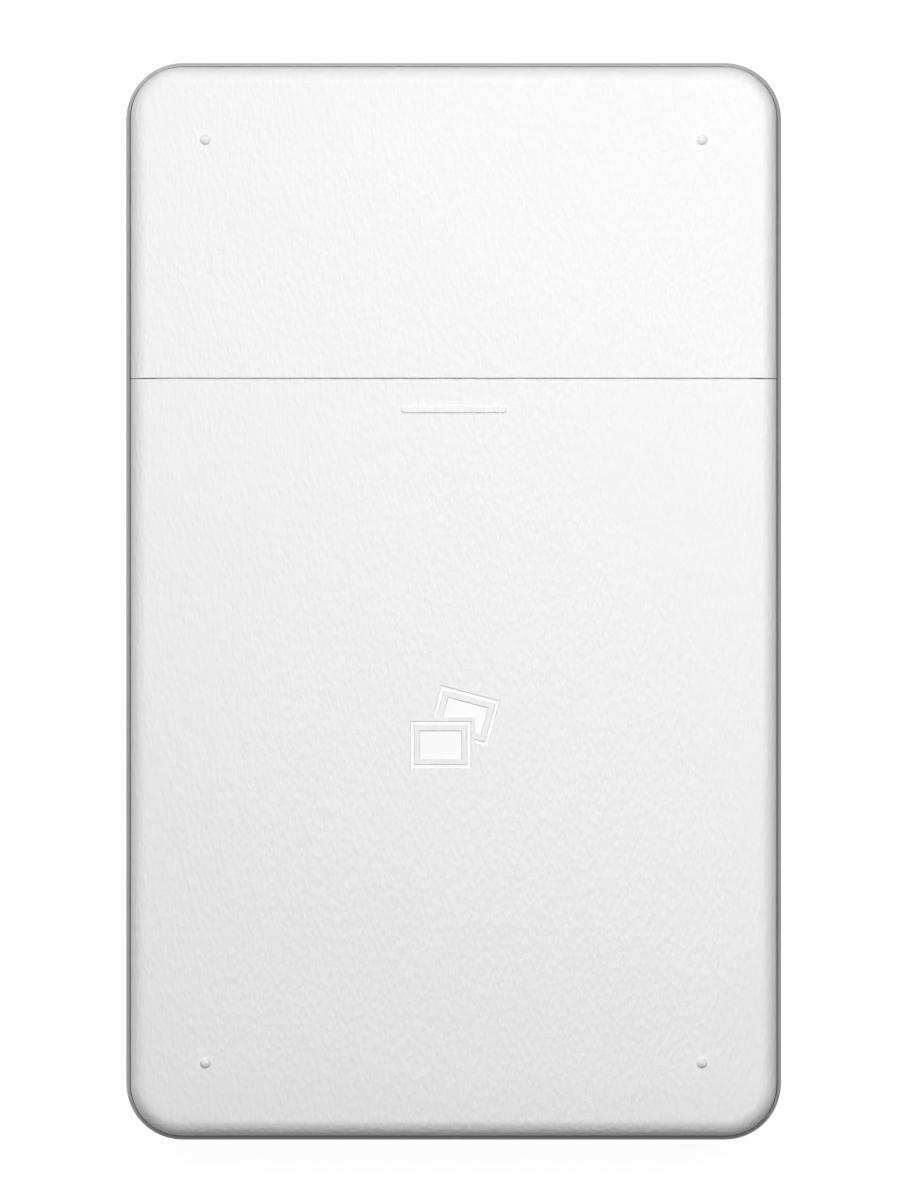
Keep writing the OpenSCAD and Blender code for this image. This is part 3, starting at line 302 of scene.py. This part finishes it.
finishes = {
    "front_shell": grained_white("grained_white_front"),
    "back_panel": grained_white("grained_white_panel"),
    "paper_cover": grained_white("grained_white_cover"),
    "mid_band": metal("satin_band", SATIN, 0.38, cell=0.12 * MM, metallic=0.15),
    "power_button": metal("satin_button", SATIN, 0.36, cell=0.12 * MM, metallic=0.15),
    "chassis": moulded("black_glass_filled", BLACK, 0.5, 0.25 * MM, 0.02 * MM),
    "pressure_plate": moulded("dark_grey_plate", (0.05, 0.05, 0.052), 0.42),
    "friction_pad": moulded("cork_rubber", (0.20, 0.10, 0.045), 0.8, 0.4 * MM, 0.08 * MM),
    "battery": metal(
        "pouch_laminate", (0.45, 0.46, 0.48), 0.4, cell=1.2 * MM, depth=0.05 * MM, metallic=0.7
    ),
    "circuit_board": solder_mask("solder_mask"),
    "board_chips": moulded("chip_resin", (0.015, 0.015, 0.016), 0.5, 0.1 * MM),
    "charging_port": metal("tinned_steel", STEEL, 0.28, (1, 6, 1), 0.4 * MM),
    "port_tongue": moulded("tongue_black", BLACK, 0.4),
    "switches": moulded("switch_black", BLACK, 0.4),
    "light_guides": glassy("frosted_guide", (0.9, 0.93, 0.92)),
    "head_flex": moulded("polyimide", (0.38, 0.15, 0.02), 0.22, 0.6 * MM, 0.006 * MM, 0.4),
    "flex_connector": moulded("connector_ivory", IVORY, 0.4),
    "motor": metal("motor_can", STEEL, 0.25, (8, 1, 1), 0.3 * MM),
    "paper_sensor": moulded("sensor_black", BLACK, 0.45),
    "paper_flag": moulded("flag_black", BLACK, 0.4),
    "reset_button": moulded("reset_ivory", IVORY, 0.4),
    "bushings": metal(
        "sintered_bronze", (0.45, 0.27, 0.10), 0.45, cell=0.15 * MM, depth=0.02 * MM
    ),
    "motor_pinion": metal("brass", (0.62, 0.42, 0.14), 0.25),
    "head_bracket": metal(
        "extruded_aluminium", (0.68, 0.69, 0.70), 0.35, (0.15, 4, 4), 0.3 * MM, 0.008 * MM
    ),
    "print_head": moulded("ceramic", (0.70, 0.68, 0.60), 0.3, 0.3 * MM, 0.004 * MM),
    "pinch_rollers": moulded("pinch_ivory", IVORY, 0.4),
    "gear_plate": metal("zinc_plate", (0.5, 0.5, 0.48), 0.33, (1, 5, 5), 0.5 * MM, 0.006 * MM),
}
GEARS = ("platen_gear", "drive_gear", "exit_idler", "exit_gear", "pick_idler", "pick_gear")
for node in GEARS:
    finishes[node] = moulded("acetal_" + node, ACETAL, 0.38)
SHAFTS = ("platen_shaft", "exit_shaft", "pick_shaft", "pinch_shaft", "motor_shaft")
for node in SHAFTS + ("head_pin", "hinge_pins"):
    finishes[node] = metal("ground_" + node, STEEL, 0.2, (0.2, 3, 3), 0.2 * MM)
for node in ("gear_posts", "chassis_screws", "panel_screws", "plate_springs", "head_springs"):
    finishes[node] = metal("plated_" + node, STEEL, 0.3)
finishes["platen_rubber"] = rubber("platen_silicone")
finishes["exit_tyres"] = rubber("exit_rubber")
finishes["pick_tyre"] = rubber("pick_rubber", knurl=True)

for node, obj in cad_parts.items():
    obj.data.materials.clear()
    obj.data.materials.append(finishes[node])


# ---- Mesh helpers ----

WELD = 1e-7
SHARP_ANGLE = math.radians(25)


def join_loops(bm, lower, upper):
    """A band of faces between two loops with the same number of points."""
    count = len(lower)
    for i in range(count):
        j = (i + 1) % count
        bm.faces.new((lower[i], lower[j], upper[j], upper[i]))


def close_ring(bm, loops):
    """Joins each loop to the next, and the last to the first."""
    for i, loop in enumerate(loops):
        join_loops(bm, loop, loops[(i + 1) % len(loops)])


def solid(name, build):
    """A closed mesh object made by build(bm), with its faces turned outwards."""
    bm = bmesh.new()
    build(bm)
    bmesh.ops.recalc_face_normals(bm, faces=bm.faces)
    mesh = bpy.data.meshes.new(name)
    bm.to_mesh(mesh)
    bm.free()
    obj = bpy.data.objects.new(name, mesh)
    bpy.context.scene.collection.objects.link(obj)
    return obj


def cut(obj, cutter):
    """Takes cutter away from obj, and removes the cutter."""
    modifier = obj.modifiers.new("cut", "BOOLEAN")
    modifier.operation = "DIFFERENCE"
    modifier.solver = "EXACT"
    modifier.object = cutter
    result = obj.evaluated_get(bpy.context.evaluated_depsgraph_get())
    mesh = bpy.data.meshes.new_from_object(result)
    obj.modifiers.clear()
    obj.data = mesh
    bpy.data.objects.remove(cutter)


def carved_copy(node, name, cutters):
    """A copy of a CAD node with the cutters taken away, which stands for that node."""
    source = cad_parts[node]
    piece = bpy.data.objects.new(name, source.data.copy())
    piece.data.name = name
    bpy.context.scene.collection.objects.link(piece)
    bm = bmesh.new()
    bm.from_mesh(piece.data)
    bmesh.ops.remove_doubles(bm, verts=bm.verts, dist=WELD)
    bm.to_mesh(piece.data)
    bm.free()
    for attribute in ("custom_normal", "sharp_edge", "sharp_face"):
        if attribute in piece.data.attributes:
            piece.data.attributes.remove(piece.data.attributes[attribute])
    for cutter in cutters:
        cut(piece, cutter)
    piece.data.shade_smooth()
    piece.data.set_sharp_from_angle(angle=SHARP_ANGLE)
    piece.data.materials.clear()
    piece.data.materials.append(finishes[node])
    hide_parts(node)
    return piece


# ---- Pictogram of two photo sheets, sunk into the cover ----

SIGN_Y = -14.2 * MM
SIGN_REACH = 8 * MM
SHEET = (6.8 * MM, 5.3 * MM)
SHEET_LINE = 0.5 * MM
SHEET_BORDER = 1.05 * MM
SHEET_GAP = 0.4 * MM
FRONT_AT = (-1.45 * MM, -1.75 * MM)
REAR_AT = (1.2 * MM, 1.45 * MM)
REAR_TURN = math.radians(-15)
SIGN_DEPTH = 0.15 * MM
SIGN_SLOPE = 0.1 * MM
# How deep a face of the sign's floor lies, in shares of SIGN_DEPTH
SIGN_FLOOR = (0.9, 1.5)


def rectangle_loop(bm, half_w, half_h, z, place):
    corners = ((-1, -1), (1, -1), (1, 1), (-1, 1))
    return [bm.verts.new(place @ Vector((sx * half_w, sy * half_h, z))) for sx, sy in corners]


def sunk_block(bm, w, h, place, slope=SIGN_SLOPE):
    """Block through the face, w by h at the face, with sides that slope inwards going down."""
    low = rectangle_loop(bm, w / 2 - slope, h / 2 - slope, -SIGN_DEPTH, place)
    high = rectangle_loop(bm, w / 2 + slope, h / 2 + slope, SIGN_DEPTH, place)
    join_loops(bm, low, high)
    bm.faces.new(reversed(low))
    bm.faces.new(high)


def sunk_line(bm, w, h, line, place):
    """Rectangular line through the face, with both of its walls sloping."""
    s = SIGN_SLOPE
    section = ((line + s, SIGN_DEPTH), (line - s, -SIGN_DEPTH), (s, -SIGN_DEPTH), (-s, SIGN_DEPTH))
    loops = [rectangle_loop(bm, w / 2 - inset, h / 2 - inset, z, place) for inset, z in section]
    close_ring(bm, loops)


def sheet_place(at, turn=0.0):
    """Place of a sheet's middle on the cover's face."""
    return Matrix.Translation((at[0], SIGN_Y + at[1], TOP_Z)) @ Matrix.Rotation(turn, 4, "Z")


def draw_sheet(bm, place):
    """One sheet: its outline as a line, and its picture as a block."""
    w, h = SHEET
    sunk_line(bm, w, h, SHEET_LINE, place)
    sunk_block(bm, w - 2 * SHEET_BORDER, h - 2 * SHEET_BORDER, place)


def signed_cover():
    """The cover with the pictogram cut into its face."""
    front_at = sheet_place(FRONT_AT)
    rear_at = sheet_place(REAR_AT, REAR_TURN)
    front = solid("front_sheet", lambda bm: draw_sheet(bm, front_at))
    rear = solid("rear_sheet", lambda bm: draw_sheet(bm, rear_at))
    # What the front sheet hides of the rear one, with a gap round it
    w, h = (side + 2 * SHEET_GAP for side in SHEET)
    deeper = front_at @ Matrix.Scale(2, 4, (0, 0, 1))
    cut(rear, solid("hidden", lambda bm: sunk_block(bm, w, h, deeper, -SIGN_SLOPE)))
    cover = carved_copy("paper_cover", "signed_cover", [rear, front])
    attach(cover, "cover")
    sunk_paint = moulded(
        "sign_white", (0.885, 0.885, 0.885), 0.4, 0.3 * MM, 0.003 * MM, tones=(0.99, 1.01)
    )
    cover.data.materials.append(sunk_paint)
    for face in cover.data.polygons:
        x, y, z = face.center
        near = abs(x) < SIGN_REACH and abs(y - SIGN_Y) < SIGN_REACH
        if near and SIGN_FLOOR[0] < (TOP_Z - z) / SIGN_DEPTH < SIGN_FLOOR[1]:
            face.material_index = 1


# ---- Groove round the band, along the foot of the upper shell ----

SHELL_CORNER_R = 5.7 * MM
GROOVE_OUT = 0.17 * MM
GROOVE_IN = 0.06 * MM
GROOVE_DEPTH = 0.7 * MM
GROOVE_ABOVE = 1 * MM
GROOVE_SLACK = 0.01 * MM
CORNER_STEPS = 16
SHELL_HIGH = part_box("front_shell")[1]
CORNER_X = SHELL_HIGH.x - SHELL_CORNER_R
CORNER_Y = SHELL_HIGH.y - SHELL_CORNER_R
BAND_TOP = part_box("mid_band")[1].z


def shell_loop(bm, grow, z):
    """The shells' rounded outline, grown outwards, as a loop of points at height z."""
    r = SHELL_CORNER_R + grow
    loop = []
    for quarter, (sx, sy) in enumerate(((1, 1), (-1, 1), (-1, -1), (1, -1))):
        for step in range(CORNER_STEPS + 1):
            a = math.radians(90) * (quarter + step / CORNER_STEPS)
            x = sx * CORNER_X + r * math.cos(a)
            y = sy * CORNER_Y + r * math.sin(a)
            loop.append(bm.verts.new((x, y, z)))
    return loop


def groove(bm):
    """Ring of a rectangular section, which reaches above the band's top."""
    high = BAND_TOP + GROOVE_ABOVE
    low = BAND_TOP - GROOVE_DEPTH
    section = ((GROOVE_OUT, high), (GROOVE_OUT, low), (-GROOVE_IN, low), (-GROOVE_IN, high))
    close_ring(bm, [shell_loop(bm, grow, z) for grow, z in section])


def outside_shell(point):
    """Distance of a point from the shells' outline in plan, positive outside it."""
    x, y = abs(point.x) - CORNER_X, abs(point.y) - CORNER_Y
    return math.hypot(max(x, 0), max(y, 0)) + min(max(x, y), 0) - SHELL_CORNER_R


def grooved_band():
    """The band with its groove, whose inside is painted near-black as painted shade."""
    band = carved_copy("mid_band", "grooved_band", [solid("groove", groove)])
    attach(band, "base")
    # Painted shade: the groove's inside gets a near-black colour so that the gap reads dark
    band.data.materials.append(moulded("groove_painted_shade", (0.04, 0.04, 0.042), 0.6))
    low = BAND_TOP - GROOVE_DEPTH - GROOVE_SLACK
    inner, outer = -GROOVE_IN - GROOVE_SLACK, GROOVE_OUT + GROOVE_SLACK
    # Faces inside the groove take the painted shade
    for face in band.data.polygons:
        if face.center.z > low and inner < outside_shell(face.center) < outer:
            face.material_index = 1


# ---- Springs over the print head and the pressure plate ----


def live_springs(node, name):
    """A still copy of a pair of springs, which stands for the CAD node, with tops at the roof and
    feet on what they press as modelled.
    """
    springs = carved_copy(node, name, [])
    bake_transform(springs)


# ---- Floor, camera and lights ----


def stage_set():
    """A plain white floor, which the printer lies on and which doesn't tint it."""
    corners = ((-1, -1), (1, -1), (1, 1), (-1, 1))
    points = [(sx * FLOOR_HALF, sy * FLOOR_HALF, FLOOR_Z) for sx, sy in corners]
    mesh = bpy.data.meshes.new("floor")
    mesh.from_pydata(points, [], [(0, 1, 2, 3)])
    floor = bpy.data.objects.new("floor", mesh)
    bpy.context.scene.collection.objects.link(floor)
    mat, tree, shader = new_material("floor_paint")
    speck = noise(tree, object_coords(tree, 40 * MM), 2.0)
    tint = colour_ramp(tree, speck, *FLOOR_TINTS)
    tree.links.new(tint, shader.inputs["Base Color"])
    shader.inputs["Roughness"].default_value = 0.9
    shader.inputs["Specular IOR Level"].default_value = 0.1
    shader.inputs["Emission Color"].default_value = (1, 1, 1, 1)
    shader.inputs["Emission Strength"].default_value = FLOOR_GLOW
    mesh.materials.append(mat)
    floor.visible_diffuse = False
    floor.visible_glossy = False


def camera():
    """Straight above the cover, at the photograph's framing and scale."""
    data = bpy.data.cameras.new("photo_camera")
    cam = bpy.data.objects.new("photo_camera", data)
    bpy.context.scene.collection.objects.link(cam)
    data.lens = LENS_MM
    data.sensor_width = SENSOR_MM
    distance = FRAME_H_PX / PX_PER_MM * MM * LENS_MM / SENSOR_MM
    x = -CENTRE_OFF_PX[0] / PX_PER_MM * MM
    y = -CENTRE_OFF_PX[1] / PX_PER_MM * MM
    cam.location = (x, y, TOP_Z + distance)
    data.clip_start = CLIP_NEAR
    data.clip_end = CLIP_FAR
    bpy.context.scene.camera = cam


def direction(azimuth, elevation):
    """Unit vector; the azimuth, in degrees, turns from +Y towards +X."""
    a, e = math.radians(azimuth), math.radians(elevation)
    return Vector((math.cos(e) * math.sin(a), math.cos(e) * math.cos(a), math.sin(e)))


def area_light(name, azimuth, elevation, power):
    """Square soft light that looks at the origin."""
    data = bpy.data.lights.new(name, "AREA")
    data.size = LIGHT_SIZE
    data.energy = power
    light = bpy.data.objects.new(name, data)
    towards = direction(azimuth, elevation)
    light.location = towards * LIGHT_FAR
    light.rotation_mode = "QUATERNION"
    light.rotation_quaternion = towards.to_track_quat("Z", "Y")
    bpy.context.scene.collection.objects.link(light)


def lights():
    """Soft light from above, the right and the left, in a dimly glowing room."""
    scene = bpy.context.scene
    scene.view_settings.view_transform = "Standard"
    scene.world = room()
    for light in LIGHTS:
        area_light(*light)


def room():
    """World light made of the soft glows, each round one direction."""
    world = bpy.data.worlds.new("studio")
    world.use_nodes = True
    tree = world.node_tree
    tree.nodes.clear()
    out = tree.nodes.new("ShaderNodeOutputWorld")
    back = tree.nodes.new("ShaderNodeBackground")
    tree.links.new(back.outputs["Background"], out.inputs["Surface"])
    coords = tree.nodes.new("ShaderNodeTexCoord")
    total = 0.0
    for azimuth, elevation, power, strength in GLOWS:
        dot = tree.nodes.new("ShaderNodeVectorMath")
        dot.operation = "DOT_PRODUCT"
        tree.links.new(coords.outputs["Generated"], dot.inputs[0])
        dot.inputs[1].default_value = direction(azimuth, elevation)
        facing = combine(tree, "POWER", combine(tree, "MAXIMUM", dot.outputs["Value"], 0.0), power)
        total = combine(tree, "ADD", combine(tree, "MULTIPLY", facing, strength), total)
    tree.links.new(total, back.inputs["Strength"])
    back.inputs["Color"].default_value = (1, 1, 1, 1)
    return world


signed_cover()
grooved_band()
live_springs("head_springs", "live_head_springs")
live_springs("plate_springs", "live_plate_springs")
stage_set()
camera()
lights()
